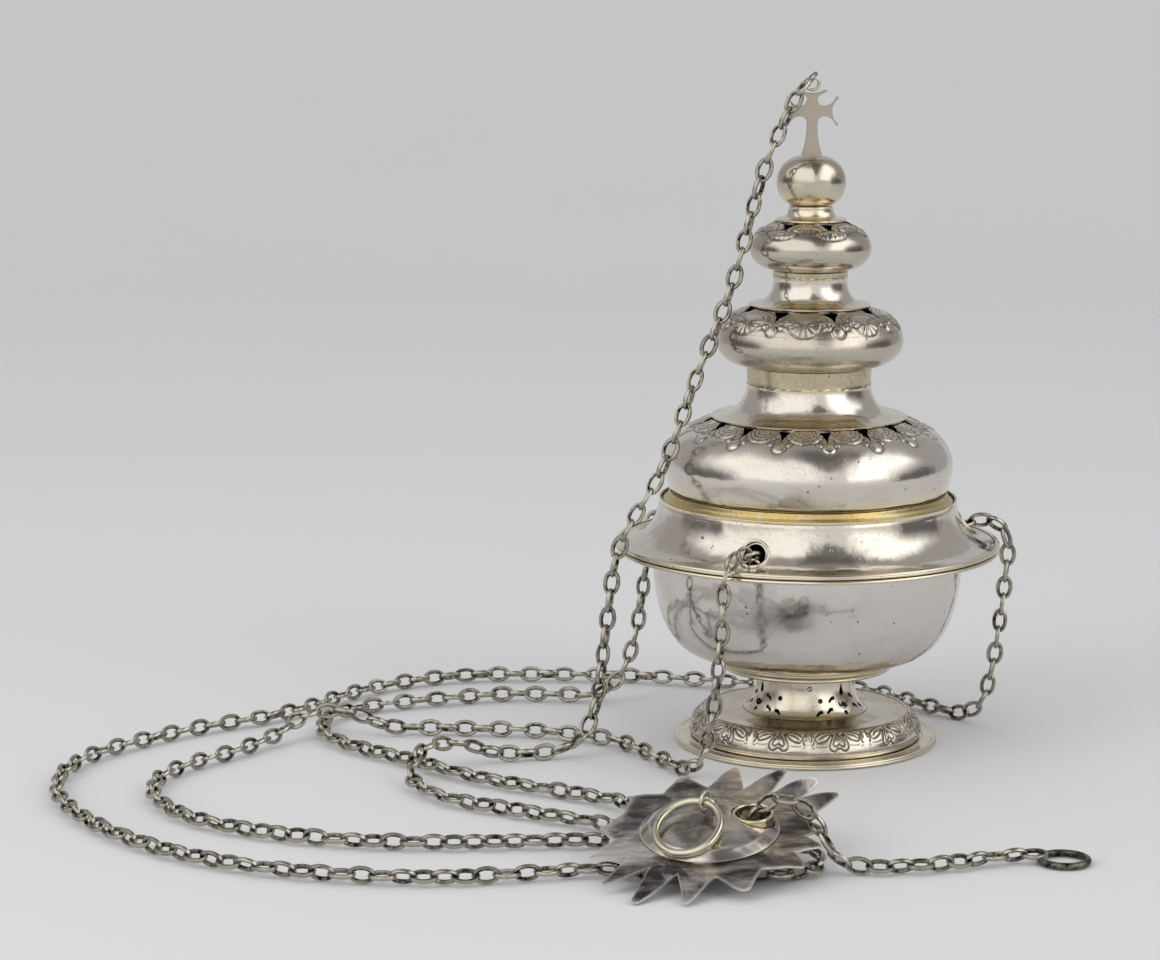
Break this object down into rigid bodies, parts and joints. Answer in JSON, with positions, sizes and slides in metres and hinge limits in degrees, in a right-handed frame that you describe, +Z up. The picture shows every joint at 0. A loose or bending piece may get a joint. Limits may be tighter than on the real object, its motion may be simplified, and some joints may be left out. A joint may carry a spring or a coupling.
{
  "type": "thurible",
  "caption": "Silver thurible on a round foot, with a pierced lid of stacked domes under a cross, four chains and a rayed hand plate with its ring.",
  "frame": {"origin": "on the table, under the middle of the bounding box of the vessel, hand plate and rings, chains left out", "axes": "+Z up from the table; -Y toward the side where the hand plate lies, which is the side that the picture shows; +X to the right as seen from there. The vessel stands at the back and the plate at the front."},
  "size_m": [0.3736, 0.3256, 0.2628],
  "materials": {
    "silver": "aged polished silver, dented and lightly tarnished",
    "cast_silver": "cast or drawn silver with warm tarnish in the hollows",
    "gilt_silver": "worn gilding over silver, deep yellow",
    "ring_silver": "warm polished ring wire with a yellowish tone",
    "chain_silver": "oxidised silver chain, dark between the links and bright on the wear points",
    "pan_iron": "fire-blackened sheet"
  },
  "bodies": {
    "stand": {"foot_flange": "cast_silver", "foot_band": "cast_silver", "foot_disc": "silver", "stem": "silver", "bowl_moulding": "cast_silver", "bowl": "silver", "bowl_flange": "cast_silver", "chain_front_lug": "cast_silver", "chain_left_lug": "cast_silver", "chain_right_lug": "cast_silver", "hand_plate": "silver", "plate_boss": "silver", "plate_eyelet": "cast_silver", "chain_front_staple": "cast_silver", "chain_left_staple": "cast_silver", "chain_right_staple": "cast_silver", "handle_staple": "cast_silver", "lift_chain": "chain_silver", "chain_front": "chain_silver", "chain_left": "chain_silver", "chain_right": "chain_silver"},
    "lid": {"lid_rim": "cast_silver", "lid_skirt": "silver", "lid_bezel": "gilt_silver", "large_dome": "silver", "lower_neck": "silver", "second_dome": "silver", "upper_neck": "silver", "third_dome": "silver", "ball_neck": "cast_silver", "finial_ball": "silver", "finial_cross": "cast_silver", "finial_loop": "ring_silver", "chain_front_hole_rim": "cast_silver", "chain_left_hole_rim": "cast_silver", "chain_right_hole_rim": "cast_silver"},
    "coal_pan": {"coal_pan": "pan_iron"},
    "jump_link": {"jump_link": "ring_silver"},
    "handle_ring": {"handle_ring": "ring_silver"},
    "lift_ring": {"lift_ring": "chain_silver"}
  },
  "joints": [
    {"name": "lid_lift", "type": "slide", "parent": "stand", "child": "lid", "axis": [0, 0, 1], "range_m": [0, 0.03], "deforming": ["lift_chain", "chain_front", "chain_left", "chain_right"]},
    {"name": "pan_lift", "type": "slide", "parent": "stand", "child": "coal_pan", "axis": [0, 0, 1], "range_m": [0, 0.002]},
    {"name": "jump_link_swing", "type": "hinge", "parent": "stand", "child": "jump_link", "pos_m": [-0.04566, -0.10702, 0.02495], "axis": [-0.8209, 0.5664, 0.0722], "range_deg": [0, 50]},
    {"name": "handle_ring_swing", "type": "hinge", "parent": "jump_link", "child": "handle_ring", "pos_m": [-0.04728, -0.1093, 0.02442], "axis": [-0.8209, 0.5664, 0.0722], "range_deg": [0, 50]},
    {"name": "lift_ring_swing", "type": "hinge", "parent": "stand", "child": "lift_ring", "pos_m": [0.06873, -0.09967, 0.0014], "axis": [0, -1, 0], "range_deg": [0, 75]}
  ]
}
